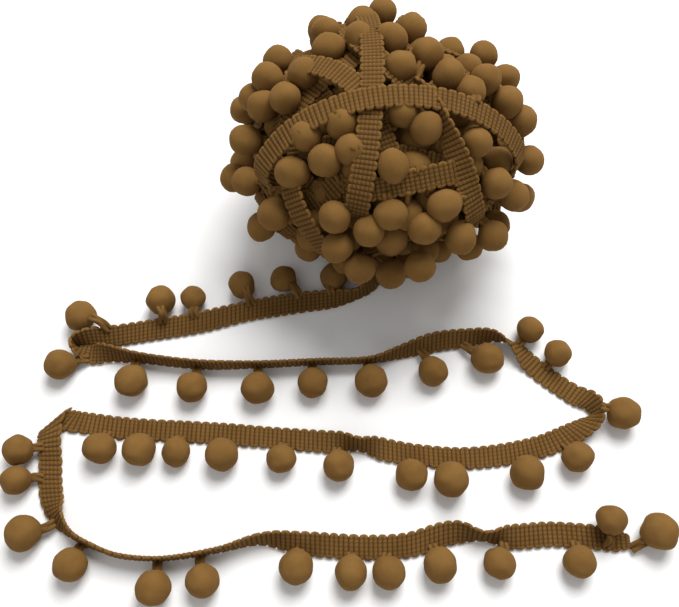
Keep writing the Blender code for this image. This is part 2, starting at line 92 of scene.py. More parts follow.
# Bearing is measured from +X towards +Y, rise is above the level, lift is off the surface.
TAPE_ROUTE = (
    # Off the ball's underside, then row 1 to the left
    Station(0, -13.6, 180, 0),
    Station(0, -22, 175, 0),
    Station(-1, -30, 165, 25),
    Station(-3.5, -36.5, 135, 70),
    Station(-9, -40.5, 100, 85),
    Station(-17, -42, 90, 50),
    Station(-28, -43, 90, 30),
    Station(-45.5, -46, 90, 25),
    Station(-62.5, -50.5, 90, 25),
    Station(-79.5, -53.5, 90, 20),
    Station(-93, -56, 95, 30),
    Station(-100.5, -57, 100, 60),
    # Upright turn, then row 2 to the right, standing on its pompom edge
    Station(-104.3, -58.8, 90, 90),
    Station(-103, -61.3, 270, 60),
    Station(-98.5, -62, 270, 0),
    Station(-92, -62.8, 270, -55),
    Station(-81.5, -64.5, 270, -84),
    Station(-61, -67, 270, -90),
    Station(-41, -67, 270, -98),
    Station(-21, -66, 270, -100),
    Station(-4, -65.3, 270, -98),
    Station(6, -62.5, 270, -75),
    Station(18, -58.5, 270, -45),
    Station(30, -57, 270, -52),
    Station(38, -56.5, 290, -82),
    Station(44.5, -59.5, 40, -50),
    Station(50, -65.5, 45, -5),
    Station(56, -71, 50, 0),
    Station(63, -76.5, 50, 5),
    Station(67.8, -80.2, 30, 45),
    # Pinched turn, then row 3 to the left
    Station(69, -83.8, 0, 65),
    Station(65.5, -87.3, -35, 30),
    Station(57, -91.5, -60, 0),
    Station(49.5, -94.3, -80, 0),
    Station(36.5, -97, -90, 0),
    Station(24, -98, -90, 0),
    Station(11, -97, -90, 0),
    Station(0, -95.5, -90, -15),
    Station(-8, -94.3, -90, -70),
    Station(-17, -93, -90, -15),
    Station(-33, -91.5, -90, 0),
    Station(-59, -89.5, -90, 0),
    Station(-85, -88, -90, 0),
    Station(-97, -86.3, -98, 0),
    # Folded over on the slant, then down the left side
    Station(-104.7, -85.4, -135, 0),
    Station(-106.5, -85.8, -135, 0, 1.0),
    Station(-106.9, -87.6, -135, 0, 2.0),
    Station(-106.6, -93, -170, 0, 2.0),
    Station(-105.7, -99, 180, 0, 0.4),
    Station(-104.8, -105, 180, 0),
    Station(-103, -111, 185, -10),
    Station(-99.5, -117.3, 215, -50),
    # Row 4 to the right, first on its pompom edge
    Station(-94, -122.3, 250, -80),
    Station(-87, -125.7, 270, -88),
    Station(-79, -128.3, 270, -92),
    Station(-66, -129, 270, -95),
    Station(-50, -126.5, 270, -92),
    Station(-38, -123.5, 270, -75),
    Station(-27, -124.3, 270, -35),
    Station(-8, -125.4, 270, -10),
    Station(6, -124.8, 270, -12),
    Station(20, -121.3, 270, -30),
    Station(29, -122.6, 270, -80),
    Station(38, -122.5, 270, -25),
    Station(50, -121.6, 270, -8),
    Station(62, -122.4, 270, -8),
    Station(73, -123.6, 270, -8),
)


class LoosePompom(NamedTuple):
    """A pompom of the loose end.

    Its middle, its diameter, how far on its root is sewn and how far it's lifted are in
    millimetres, and over is how far up the ball its loop is tied (degrees).
    """

    x: float
    y: float
    diameter: float
    on: float = 0.0
    lift: float = 0.0
    over: float = 0.0


LOOSE_POMPOMS = (
    LoosePompom(-16.5, -35.5, 9.5),
    LoosePompom(-34, -35.5, 9.5, -5, 0, 25),
    LoosePompom(-48.5, -37, 9.5, -2, 0, 45),
    LoosePompom(-65, -43, 8.7, 0, 0, 15),
    LoosePompom(-75.5, -46.6, 10.3, 0, 0, 50),
    LoosePompom(-103, -49.5, 10.3, -7, 0, 30),
    LoosePompom(-105.5, -66.5, 10, 3),
    LoosePompom(-82.5, -73.5, 10.5),
    LoosePompom(-62.5, -75.5, 9.8),
    LoosePompom(-41, -76, 10.7),
    LoosePompom(-23, -74, 10.1),
    LoosePompom(-4, -73.5, 10.8),
    LoosePompom(16.5, -70, 9.9, -2),
    LoosePompom(35, -65.5, 10.3, -5),
    LoosePompom(50.5, -54.5, 9.2, -1),
    LoosePompom(58, -64, 9),
    LoosePompom(75.5, -84.5, 10.6, -1),
    LoosePompom(60, -98.5, 9.7),
    LoosePompom(43.5, -103, 10.8),
    LoosePompom(20, -105.5, 10.8),
    LoosePompom(8, -104, 9.9),
    LoosePompom(-14.5, -101.5, 9.6),
    LoosePompom(-32.5, -99, 9.1),
    LoosePompom(-51, -97.5, 10.3),
    LoosePompom(-65.5, -97, 9.1),
    LoosePompom(-77, -96.5, 10.3),
    LoosePompom(-89.5, -96, 10),
    LoosePompom(-113.5, -96, 9.7),
    LoosePompom(-114, -106, 9.2),
    LoosePompom(-108.5, -122, 10.1, 2),
    LoosePompom(-93, -131, 9.6),
    LoosePompom(-68, -137.5, 10.1),
    LoosePompom(-54, -135.5, 9.8),
    LoosePompom(-27, -131.5, 10),
    LoosePompom(-11, -132.5, 9.6),
    LoosePompom(0, -133, 9.6),
    LoosePompom(15, -131, 9.9),
    LoosePompom(32.5, -130.5, 9.1),
    LoosePompom(56, -130, 9.4),
    LoosePompom(66.5, -118.5, 9, 0, 2.2, 20),
    LoosePompom(81, -121.5, 10.4, 4),
)


class Wrap(NamedTuple):
    """A turn of tape round the ball.

    pole and tilt give the normal of the plane that it lies in (degrees), offset is how far the
    plane lies from the ball's middle (mm), start and end are measured round the turn from its
    highest place (degrees), and level is how far it lies over the other wraps (mm). The tape
    leans over on its edge by an angle that changes evenly from lean_start to lean_end (degrees).
    It lies flat where that is under zero, and leans no further than WoundBall.most_lean.
    """

    name: str
    pole: float
    tilt: float
    offset: float
    start: float
    end: float
    level: float = 0.0
    lean_start: float = 0.0
    lean_end: float = 0.0


# The underside wrap goes on from the loose end, so it isn't sunk where it starts.
LEAD_WRAP = Wrap("underside", 0, 0, 0, 164, 262, 1.4)
OUTER_WRAPS = (
    LEAD_WRAP,
    Wrap("arch", -86, 22, 25.5, -86, 86, 1.4),
    Wrap("upright", 179, 13, 12.5, -72, 150, 0.0),
    Wrap("top_left", -140, 42, 32, -26, 62, -0.4),
    Wrap("right_slope", 22, 10, 13, 8, 92, -0.8, 130, -60),
    Wrap("front_level", 105, 42, -10, -34, 34, -2.0),
    Wrap("front_short", 58, 60, 16, 90, 200, -2.4),
    Wrap("left_slope", -10, 40, -8, 38, 110, -0.6),
    Wrap("under_arch", 42, 44, 24, -100, 20, -2.6),
    Wrap("back_level", 95, 60, 4, 98, 264, 0.0),
    Wrap("back_slope", 60, 25, 14, 96, 292, -1.4),
    Wrap("back_steep", 140, 8, 20, 46, 252, 0.6),
    Wrap("right_girth", 15, 4, 36, 100, 292, -2.0),
    Wrap("left_girth", 190, 5, 37, 54, 238, -0.4),
)
INNER_WRAPS = (
    Wrap("inner_1", -60, 35, 6, -120, 120, -6.0),
    Wrap("inner_2", -20, 30, -8, -130, 110, -6.8),
    Wrap("inner_3", -100, 52, 12, -150, 150, -6.2),
    Wrap("inner_4", 30, 55, 10, -160, 60, -7.0),
    Wrap("inner_5", 160, 40, 14, -120, 120, -6.4),
    Wrap("inner_6", 80, 20, -14, -110, 100, -7.2),
    Wrap("inner_7", -150, 15, 18, -90, 130, -5.6),
    Wrap("inner_8", 0, 75, 6, -180, 130, -7.4),
)


class Course(NamedTuple):
    """Pompoms at one height round the ball: height and azimuths (degrees), reach past it (mm)."""

    height: float
    reach: float
    azimuths: tuple


# Azimuth is measured from +X towards +Y, and height up from the ball's middle.
COURSES = (
    Course(85, 0, (21,)),
    Course(71, 0, (83, 35, -74)),
    Course(67, 0, (2, 116)),
    Course(62, 0, (143, -127, -61)),
    Course(58, 0, (-9, 171, 70)),
    Course(54, 0, (-113,)),
    Course(50, 0.5, (-172, 127, 103, 7, -88, -141)),
    Course(46, 0, (-38, -124)),
    Course(41, 2, (169, 90)),
    Course(37, 0, (-177, 0)),
    Course(34, 0, (150, -136)),
    Course(29, 0, (-89, 173, -67)),
    Course(24, 0, (-40, -111, -3)),
    Course(20, 0, (-169, -97, -76)),
    Course(8, 1, (-155, -33, -108, -62, -136, -14)),
    Course(-2, 3, (-164, -99, -48, -78)),
    Course(-14, 3, (-144, -20)),
    Course(-22, 1, (-87,)),
    # A layer down, in the gaps of the front
    Course(62, -5, (54, 25)),
    Course(48, -5, (-108, -75)),
    Course(38, -5, (-45, 8)),
    Course(24, -5, (-27, -81)),
    Course(8, -5, (-88, -120)),
)


def from_angles(bearing: float, rise: float) -> Vector:
    """Turn a bearing and a rise into a direction.

    Args:
        bearing: Degrees from +X towards +Y.
        rise: Degrees above the level.

    Returns:
        A unit vector.
    """
    turn = math.radians(bearing)
    climb = math.radians(rise)
    level = math.cos(climb)
    return Vector((level * math.cos(turn), level * math.sin(turn), math.sin(climb)))


def scaled(axes: Vector, direction: Vector) -> Vector:
    """Give the direction's point on an ellipsoid with these semi-axes."""
    return Vector((axes.x * direction.x, axes.y * direction.y, axes.z * direction.z))


def unit(rows: np.ndarray) -> np.ndarray:
    """Scale every row to length one."""
    return rows / np.linalg.norm(rows, axis=-1, keepdims=True)


def smooth_through(points: np.ndarray, step: float) -> np.ndarray:
    """Run a smooth curve through the given rows.

    Args:
        points: Rows whose first three numbers are a place.
        step: Distance between the rows that come out.

    Returns:
        Rows on the curve, a step apart.
    """
    chords = np.linalg.norm(np.diff(points[:, :3], axis=0), axis=1)
    knots = np.concatenate(([0.0], np.cumsum(chords)))
    slopes = np.empty_like(points)
    slopes[1:-1] = (points[2:] - points[:-2]) / (knots[2:] - knots[:-2])[:, None]
    slopes[0] = (points[1] - points[0]) / chords[0]
    slopes[-1] = (points[-1] - points[-2]) / chords[-1]
    along = np.linspace(0.0, knots[-1], int(knots[-1] / step) + 1)
    piece = np.clip(np.searchsorted(knots, along, side="right") - 1, 0, len(chords) - 1)
    span = chords[piece][:, None]
    part = ((along - knots[piece]) / chords[piece])[:, None]
    return (
        points[piece] * (2 * part**3 - 3 * part**2 + 1)
        + points[piece + 1] * (3 * part**2 - 2 * part**3)
        + slopes[piece] * span * (part**3 - 2 * part**2 + part)
        + slopes[piece + 1] * span * (part**3 - part**2)
    )


def wander(seed: int, count: int, knots: int) -> np.ndarray:
    """Make a smooth random run of numbers between -1 and 1.

    Args:
        seed: Seed of the run.
        count: How many numbers come out.
        knots: How many of them are free, with the rest between.

    Returns:
        The numbers.
    """
    free = np.random.default_rng(seed).uniform(-1, 1, max(knots, 2) + 1)
    return np.interp(np.linspace(0, len(free) - 1, count), np.arange(len(free)), free)


@dataclass
class TapeLine:
    """A tape's middle line: its places, half its width towards the pompoms, and its normals."""

    middles: np.ndarray
    halves: np.ndarray
    normals: np.ndarray

    @classmethod
    def through(cls, middles: np.ndarray, edges: np.ndarray) -> "TapeLine":
        """Lay a tape of full width along a line.

        Args:
            middles: Places of its middle line.
            edges: Unit vectors towards its pompom edge.

        Returns:
            The tape's line.
        """
        ahead = np.concatenate((middles[1:], middles[-1:]))
        behind = np.concatenate((middles[:1], middles[:-1]))
        across = np.cross(unit(ahead - behind), edges)
        square = np.linalg.norm(across, axis=1, keepdims=True)
        return cls(middles, edges * (TAPE_WIDTH / 2) / square, across / square)

    @property
    def marks(self) -> np.ndarray:
        """Distances along the line."""
        steps = np.linalg.norm(np.diff(self.middles, axis=0), axis=1)
        return np.concatenate(([0.0], np.cumsum(steps)))

    @property
    def length(self) -> float:
        """The line's whole length."""
        return float(self.marks[-1])

    def at(self, wanted: np.ndarray) -> "TapeLine":
        """Give the same line by its places at the wanted distances along it."""
        marks = self.marks

        def between(rows: np.ndarray) -> np.ndarray:
            """Interpolate the rows at the wanted marks."""
            return np.stack([np.interp(wanted, marks, rows[:, axis]) for axis in range(3)], axis=1)

        return TapeLine(between(self.middles), between(self.halves), unit(between(self.normals)))

    def nearest(self, point: Vector) -> tuple[float, Vector]:
        """Measure how far a point is from the tape.

        Args:
            point: The place to measure from.

        Returns:
            The distance to the tape's surface, and the nearest point of its middle face.
        """
        offsets = np.array(point) - self.middles
        across = (offsets * self.halves).sum(axis=1) / (self.halves**2).sum(axis=1)
        on_face = self.middles + self.halves * np.clip(across, -1, 1)[:, None]
        distances = np.linalg.norm(np.array(point) - on_face, axis=1)
        index = int(distances.argmin())
        return float(distances[index]) - TAPE_THICKNESS / 2, Vector(on_face[index])

    def edge_near(self, point: Vector, on: float) -> tuple[Vector, Vector]:
        """Find the pompom edge's place nearest to a point, or a distance further on along it.

        Args:
            point: The place to start from.
            on: Distance further on.

        Returns:
            The edge's place, and the direction from the middle line towards it.
        """
        edges = self.middles + self.halves
        index = int(np.linalg.norm(np.array(point) - edges, axis=1).argmin())
        index = min(max(index + round(on / FINE_STEP), 0), len(edges) - 1)
        return Vector(edges[index]), Vector(self.halves[index]).normalized()


def loose_line() -> TapeLine:
    """Lay the loose end along its route, resting on the surface."""
    rows = []
    for place in TAPE_ROUTE:
        edge = from_angles(place.bearing, place.rise)
        rows.append((place.x * MM, place.y * MM, place.lift * MM, *edge))
    fine = smooth_through(np.array(rows), FINE_STEP)
    fine[:, 2] = np.maximum(fine[:, 2], 0.0)
    line = TapeLine.through(fine[:, :3], unit(fine[:, 3:]))
    line.middles = line.middles.copy()
    rest = np.abs(line.halves[:, 2]) + np.abs(line.normals[:, 2]) * TAPE_THICKNESS / 2
    line.middles[:, 2] += rest
    return line


class Grain(Enum):
    """What a finish's small relief follows."""

    FELT = "felt"
    WEAVE = "weave"
    TWIST = "twist"


def add_node(tree: bpy.types.NodeTree, kind: str, **values: float) -> bpy.types.Node:
    """Add a node and set its inputs.

    Args:
        tree: The material's node tree.
        kind: Blender's name for the node.
        **values: Inputs by name, with _ for a space.

    Returns:
        The node.
    """
    node = tree.nodes.new(kind)
    for key, value in values.items():
        node.inputs[key.replace("_", " ")].default_value = value
    return node


@dataclass(frozen=True)
class YarnFinish:
    """Matt brown yarn: felted, woven in ribs or twisted into a cord."""

    name: str
    grain: Grain
    light: Colour
    dark: Colour
    # Painted shade: the darker colour that the grooves take.
    painted_groove_shade: Colour
    patch: float = 7.0 * MM
    fibre: float = 0.30 * MM
    fibre_height: float = 0.10 * MM
    fuzz: float = 0.7
    speck_share: float = 0.45
    dark_until: float = 0.42
    light_from: float = 0.98
    strand_lay: float = math.radians(62)
    strand_scale: float = 2.2 * MM
    strand_height: float = 0.06 * MM
    strand_strength: float = 0.45
    roughness: float = 0.92
    gloss: float = 0.12
    sheen: float = 0.25
    sheen_roughness: float = 0.45

    def material(self) -> bpy.types.Material:
        """Make the finish's material, or give it again if it's made."""
        made = bpy.data.materials.get(self.name)
        if made:
            return made
        material = bpy.data.materials.new(self.name)
        material.use_nodes = True
        tree = material.node_tree
        shader = tree.nodes["Principled BSDF"]
        shader.inputs["Roughness"].default_value = self.roughness
        shader.inputs["Specular IOR Level"].default_value = self.gloss
        shader.inputs["Sheen Weight"].default_value = self.sheen
        shader.inputs["Sheen Roughness"].default_value = self.sheen_roughness
        shader.inputs["Sheen Tint"].default_value = (*self.light, 1.0)
        tree.links.new(self.colour(tree), shader.inputs["Base Color"])
        tree.links.new(self.relief(tree), shader.inputs["Normal"])
        return material

    def colour(self, tree: bpy.types.NodeTree) -> bpy.types.NodeSocket:
        """Mottle the yarn, and paint shade into its grooves, where the relief layer is low."""
        place = add_node(tree, "ShaderNodeTexCoord")
        patches = add_node(tree, "ShaderNodeTexNoise", Scale=1 / self.patch, Detail=3.0, Roughness=0.6)
        specks = add_node(tree, "ShaderNodeTexNoise", Scale=1 / self.fibre, Detail=2.0, Roughness=0.7)
        blend = add_node(tree, "ShaderNodeMath")
        blend.operation = "MULTIPLY_ADD"
        blend.inputs[1].default_value = self.speck_share
        ramp = add_node(tree, "ShaderNodeValToRGB")
        ramp.color_ramp.elements[0].position = self.dark_until
        ramp.color_ramp.elements[0].color = (*self.dark, 1.0)
        ramp.color_ramp.elements[1].position = self.light_from
        ramp.color_ramp.elements[1].color = (*self.light, 1.0)
        for texture in (patches, specks):
            tree.links.new(place.outputs["Object"], texture.inputs["Vector"])
        tree.links.new(specks.outputs["Fac"], blend.inputs[0])
        tree.links.new(patches.outputs["Fac"], blend.inputs[2])
        tree.links.new(blend.outputs[0], ramp.inputs["Fac"])
        # Painted shade: where the relief layer is low, in the grooves, the colour is mixed towards the
        # groove colour.
        height = add_node(tree, "ShaderNodeAttribute")
        height.attribute_name = "relief"
        groove_shade_mix = tree.nodes.new("ShaderNodeMix")
        groove_shade_mix.data_type = "RGBA"
        groove_shade_mix.inputs["A"].default_value = (*self.painted_groove_shade, 1.0)
        tree.links.new(height.outputs["Fac"], groove_shade_mix.inputs["Factor"])
        tree.links.new(ramp.outputs["Color"], groove_shade_mix.inputs["B"])
        return groove_shade_mix.outputs["Result"]

    def relief(self, tree: bpy.types.NodeTree) -> bpy.types.NodeSocket:
        """Raise the fibres, and the strands where the yarn is woven or twisted."""
        place = add_node(tree, "ShaderNodeTexCoord")
        fibres = add_node(tree, "ShaderNodeTexNoise", Scale=1 / self.fibre, Detail=4.0, Roughness=0.75)
        tree.links.new(place.outputs["Object"], fibres.inputs["Vector"])
        fuzz = add_node(tree, "ShaderNodeBump", Strength=self.fuzz, Distance=self.fibre_height)
        tree.links.new(fibres.outputs["Fac"], fuzz.inputs["Height"])
        if self.grain is Grain.FELT:
            return fuzz.outputs["Normal"]
        turn = add_node(tree, "ShaderNodeMapping")
        turn.inputs["Rotation"].default_value = (0, 0, self.strand_lay)
        strands = add_node(
            tree, "ShaderNodeTexWave", Scale=1 / self.strand_scale, Distortion=0.6, Detail=1.0
        )
        tree.links.new(place.outputs["UV"], turn.inputs["Vector"])
        tree.links.new(turn.outputs["Vector"], strands.inputs["Vector"])
        cords = add_node(
            tree, "ShaderNodeBump", Strength=self.strand_strength, Distance=self.strand_height
        )
        tree.links.new(strands.outputs["Fac"], cords.inputs["Height"])
        tree.links.new(fuzz.outputs["Normal"], cords.inputs["Normal"])
        return cords.outputs["Normal"]


@dataclass(frozen=True)
class FloorFinish:
    """A pale, plain, matt floor."""

    name: str = "pale floor"
    colour: Colour = (0.93, 0.93, 0.925)

    def material(self) -> bpy.types.Material:
        """Make the floor's material, with a faint change of tone over it."""
        material = bpy.data.materials.new(self.name)
        material.use_nodes = True
        tree = material.node_tree
        shader = tree.nodes["Principled BSDF"]
        shader.inputs["Roughness"].default_value = 0.9
        shader.inputs["Specular IOR Level"].default_value = 0.1
        place = add_node(tree, "ShaderNodeTexCoord")
        tone = add_node(tree, "ShaderNodeTexNoise", Scale=3.0, Detail=1.0)
        ramp = add_node(tree, "ShaderNodeValToRGB")
        ramp.color_ramp.elements[0].color = (*[part * 0.99 for part in self.colour], 1.0)
        ramp.color_ramp.elements[1].color = (*self.colour, 1.0)
        tree.links.new(place.outputs["Object"], tone.inputs["Vector"])
        tree.links.new(tone.outputs["Fac"], ramp.inputs["Fac"])
        tree.links.new(ramp.outputs["Color"], shader.inputs["Base Color"])
        return material


LIGHT_BROWN = (0.222, 0.117, 0.033)
MID_BROWN = (0.165, 0.083, 0.021)
# Painted shade: the colour of the grooves and of the inner winding.
PAINTED_SHADE_BROWN = (0.055, 0.026, 0.007)
FELT = YarnFinish(
    "felted yarn", Grain.FELT, LIGHT_BROWN, MID_BROWN, MID_BROWN, fibre_height=0.14 * MM
)
WEAVE = YarnFinish(
    "ribbed weave", Grain.WEAVE, LIGHT_BROWN, MID_BROWN, PAINTED_SHADE_BROWN, patch=5.0 * MM
)
TWIST = YarnFinish(
    "twisted yarn",
    Grain.TWIST,
    LIGHT_BROWN,
    MID_BROWN,
    PAINTED_SHADE_BROWN,
    patch=4.0 * MM,
    strand_lay=math.radians(35),
)
# Painted shade: the inner winding takes darker colours than the wraps, for the shade in the gaps.
SHADED = YarnFinish("inner winding in painted shade", Grain.FELT, MID_BROWN, PAINTED_SHADE_BROWN, PAINTED_SHADE_BROWN)


@dataclass
class Piece:
    """A mesh in the making, and the finishes that its faces take."""

    name: str
    slot: str
    node: str
    finishes: tuple[YarnFinish, ...]
    maker: bmesh.types.BMesh = field(default_factory=bmesh.new)

    def __post_init__(self) -> None:
        """Give the mesh its map and its relief, which sets where shade is painted in the grooves."""
        self.maker.loops.layers.uv.new("UVMap")
        self.height = self.maker.verts.layers.float.new("relief")

    def sleeve(
        self,
        places: np.ndarray,
        groove_shade_mask: np.ndarray,
        size: tuple[float, float],
        finish: int = 0,
    ) -> None:
        """Add a closed sleeve, such as a tape or a cord.

        Args:
            places: Positions by row along it and column round it, the last column on the first.
            groove_shade_mask: Relief from 0 to 1, by row and column; shade is painted where it is low.
            size: Length and girth, for its map.
            finish: Which of the piece's finishes it takes.
        """
        rows, columns = places.shape[0] - 1, places.shape[1] - 1
        made = bmesh.ops.create_grid(
            self.maker, x_segments=rows, y_segments=columns, size=0.5, calc_uvs=True
        )["verts"]
        faces = {face for vert in made for face in vert.link_faces}
        chart = self.maker.loops.layers.uv.active
        for face in faces:
            face.material_index = finish
            for loop in face.loops:
                loop[chart].uv = (loop[chart].uv.x * size[0], loop[chart].uv.y * size[1])
        for vert in made:
            row = round((vert.co.x + 0.5) * rows)
            column = round((vert.co.y + 0.5) * columns)
            vert[self.height] = groove_shade_mask[row, column]
            vert.co = places[row, column]
        bmesh.ops.remove_doubles(self.maker, verts=made, dist=TINY)
        edges = {edge for face in faces if face.is_valid for edge in face.edges}
        ends = [edge for edge in edges if edge.is_boundary]
        caps = bmesh.ops.holes_fill(self.maker, edges=ends, sides=0)["faces"]
        for cap in caps:
            cap.material_index = finish
        shell = [face for face in faces if face.is_valid] + caps
        bmesh.ops.recalc_face_normals(self.maker, faces=shell)

    def finish(self) -> bpy.types.Object:
        """Link the piece, smooth and dress it, and let it ride and stand for its node."""
        mesh = bpy.data.meshes.new(self.name)
        self.maker.to_mesh(mesh)
        self.maker.free()
        mesh.shade_smooth()
        piece = bpy.data.objects.new(self.name, mesh)
        bpy.context.scene.collection.objects.link(piece)
        for finish in self.finishes:
            mesh.materials.append(finish.material())
        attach(piece, BODY)
        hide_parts(self.node)
        mesh.calc_loop_triangles()
        LOG.info("%s: %d triangles", self.name, len(mesh.loop_triangles))
        return piece


@dataclass
class RibbedTape:
    """The woven tape: weft cord that runs to and fro, with warp threads that pinch it.

    Each pass of the weft is a rib. It turns back round each edge, so every second pair of ribs
    makes a scallop, and the scallops of one edge lie between those of the other.
    """

    pass_pitch: float = 1.45 * MM
    rows_in_pass: int = 4
    scallop: float = 0.95 * MM
    rib_depth: float = 0.50
    warp_depth: float = 0.36
    warp_every: float = 0.32
    columns: tuple[float, ...] = (-1, -0.95, -0.8, -0.64, -0.48, -0.32, -0.16, 0)
    warp_reach: float = 0.75
    fewest_passes: int = 4
    pass_shift: float = 0.2
    edge_power: float = 6
    rib_power: float = 0.6
    crown_power: float = 10
    relief_power: float = 0.7
    thickness_change: float = 0.08
    breadth: float = 1.015
    breadth_change: float = 0.03
    tip: float = 5.0 * MM
    tip_width: float = 0.35

    def add(self, piece: Piece, line: TapeLine, seed: int, tipped: bool = False) -> np.ndarray:
        """Weave the tape along a line.

        Args:
            piece: The piece that it's added to.
            line: The tape's middle line.
            seed: Seed of its small unevenness.
            tipped: Whether its far end is drawn in to a tip.

        Returns:
            The places of its middle line, row by row.
        """
        passes = 2 * max(self.fewest_passes, round(line.length / self.pass_pitch / 2))
        phase = np.arange(passes * self.rows_in_pass + 1) / self.rows_in_pass
        rows = len(phase)
        shifted = phase + self.pass_shift * wander(seed, rows, passes // 4)
        marks = shifted / passes * line.length
        even = line.at(np.clip(marks, 0, line.length))
        half = np.array(self.columns + tuple(-place for place in reversed(self.columns[:-1])), float)
        across = np.concatenate((half, half[-2::-1]))
        side = np.concatenate((np.ones(len(half)), -np.ones(len(half) - 1)))
        near_edge = np.abs(across) ** self.edge_power

        rib = np.abs(np.sin(np.pi * phase)) ** self.rib_power
        lobes = [np.sqrt(np.maximum(0, 1 - ((phase + shift) % 2 - 1) ** 2)) for shift in (0, 1)]
        lobe = np.where(across > 0, lobes[0][:, None], lobes[1][:, None])
        full_rib = rib[:, None] + (1 - rib[:, None]) * near_edge * lobe
        pinch = 0.5 + 0.5 * np.cos(math.tau * across / self.warp_every)
        pinch = pinch * (np.abs(across) < self.warp_reach)
        uneven = 1 + self.thickness_change * wander(seed + 1, rows, passes // 2)[:, None]
        tighter = wander(seed + 3, rows, passes // 25)[:, None]
        crown = np.sqrt(np.maximum(0, 1 - across**self.crown_power))
        height = (
            TAPE_THICKNESS / 2 * crown * uneven
            * (1 - self.rib_depth * (1 - 0.3 * tighter) * (1 - full_rib))
            * (1 - self.warp_depth * (1 + 0.5 * tighter) * pinch)
        )
        reach = across * (1 - near_edge * (self.scallop / (TAPE_WIDTH / 2)) * (1 - lobe))
        breadth = self.breadth + self.breadth_change * wander(seed + 2, rows, passes // 8)
        if tipped:
            to_go = np.clip((line.length - marks) / self.tip, 0, 1)
            breadth = breadth * (self.tip_width + (1 - self.tip_width) * np.sqrt(to_go))
        reach = reach * breadth[:, None]
        places = (
            even.middles[:, None]
            + even.halves[:, None] * reach[:, :, None]
            + even.normals[:, None] * (side * height)[:, :, None]
        )
        places[:, :, 2] = np.maximum(places[:, :, 2], 0.0)
        # Relief for the painted shade: low in the grooves between the ribs and where the warp pinches,
        # 1 on the ridges.
        relief = np.clip(full_rib * (1 - 0.6 * (1 + 0.4 * tighter) * pinch), 0, 1)
        relief = relief**self.relief_power
        piece.sleeve(places, relief, (line.length, 2 * TAPE_WIDTH))
        return even.middles


@dataclass
class PompomMaker:
    """A felted ball on a doubled loop of twisted yarn."""

    fineness: int = 4
    strand: float = 0.86 * MM
    apart: float = 0.80 * MM
    strand_sides: int = 10
    strand_rows: int = 16
    lumps: float = 0.09
    nap: float = 0.012
    shoulder: float = 0.16
    shoulder_spread: float = math.radians(34)
    lump_scale: float = 1.4
    nap_scale: float = 7
    inset: float = 1.6 * MM
    bow: float = 0.7 * MM
    end_at: float = 0.82
    tied_at: float = 0.94
    over_bow: float = 0.35
    ply_pitch: float = 0.9 * MM
    ply_depth: float = 0.10

    def add_ball(self, piece: Piece, centre: Vector, radius: float, axis: Vector, seed: int) -> None:
        """Add the felted ball.

        Args:
            piece: The piece that it's added to.
            centre: Its middle.
            radius: Its radius.
            axis: Unit vector from its root to its middle.
            seed: Seed of its own shape.
        """
        chance = np.random.default_rng(seed)
        shift = Vector(chance.uniform(-50, 50, 3))
        long, wide = chance.uniform(0.93, 1.07), chance.uniform(0.95, 1.05)
        shoulder = self.shoulder * chance.uniform(0.1, 1.0)
        turn = axis.to_track_quat("Z", "Y").to_matrix()
        made = bmesh.ops.create_icosphere(piece.maker, subdivisions=self.fineness, radius=1.0)["verts"]
        for vert in made:
            way = vert.co.normalized()
            lump = self.lumps * noise.noise(way * self.lump_scale + shift)
            lump += self.nap * noise.noise(way * self.nap_scale + shift)
            lump += shoulder * math.exp(-((way.angle(Vector((0, 0, -1))) / self.shoulder_spread) ** 2))
            shape = Vector((way.x * wide, way.y / wide, way.z * long))
            vert.co = centre + turn @ shape * (radius * (1 + lump))
            vert.co.z = max(vert.co.z, 0.0)
            vert[piece.height] = 1.0

    def add_loop(
        self,
        piece: Piece,
        root: Vector,
        inward: Vector,
        centre: Vector,
        radius: float,
        seed: int,
        over: float = 0.0,
    ) -> None:
        """Add the two strands of the loop that ties the ball to the tape's edge.

        Args:
            piece: The piece that they're added to.
            root: The place on the tape's edge.
            inward: Unit vector from there into the tape.
            centre: The ball's middle.
            radius: The ball's radius.
            seed: Seed of its own twist.
            over: How far up the ball it's tied, in degrees.
        """
        chance = np.random.default_rng(seed + 1000)
        axis = (centre - root).normalized()
        side = axis.cross(Vector((0, 0, 1)))
        side = (side if side.length > NEARLY_UPRIGHT else axis.cross(Vector((1, 0, 0)))).normalized()
        twist = math.radians(chance.uniform(10, 80))
        start = root + inward * self.inset
        tied = Matrix.Rotation(math.radians(-over), 3, side) @ -axis
        end = centre + tied * radius * (self.tied_at if over else self.end_at)
        bend = side * chance.uniform(-self.bow, self.bow) + Vector((0, 0, self.bow))
        bend += tied * radius * math.sin(math.radians(over)) * self.over_bow
        part = np.linspace(0, 1, self.strand_rows)
        turns = np.linspace(0, math.tau, self.strand_sides + 1)
        for hand in (-1, 1):
            line = []
            for share in part:
                lean = Matrix.Rotation(twist * (share - 0.3), 3, axis) @ side
                spread = self.apart * hand * (1 - 0.25 * math.sin(math.pi * share))
                bulge = bend * math.sin(math.pi * share)
                line.append(start.lerp(end, share) + lean * spread + bulge)
            line = np.array(line)
            runs = unit(np.gradient(line, axis=0))
            first = unit(np.cross(runs, np.array(side) + 1e-6))
            second = np.cross(runs, first)
            length = float(np.linalg.norm(line[-1] - line[0]))
            ply = turns[None, :] * 2 - part[:, None] * length / self.ply_pitch * hand
            thick = self.strand * (1 + self.ply_depth * np.cos(ply))
            places = (
                line[:, None]
                + first[:, None] * (np.cos(turns) * thick)[:, :, None]
                + second[:, None] * (np.sin(turns) * thick)[:, :, None]
            )
            places[:, :, 2] = np.maximum(places[:, :, 2], 0.0)
            # Relief for the painted shade: low between the twisted plies.
            piece.sleeve(places, 0.75 + 0.25 * np.cos(ply), (length, math.tau * self.strand), finish=1)


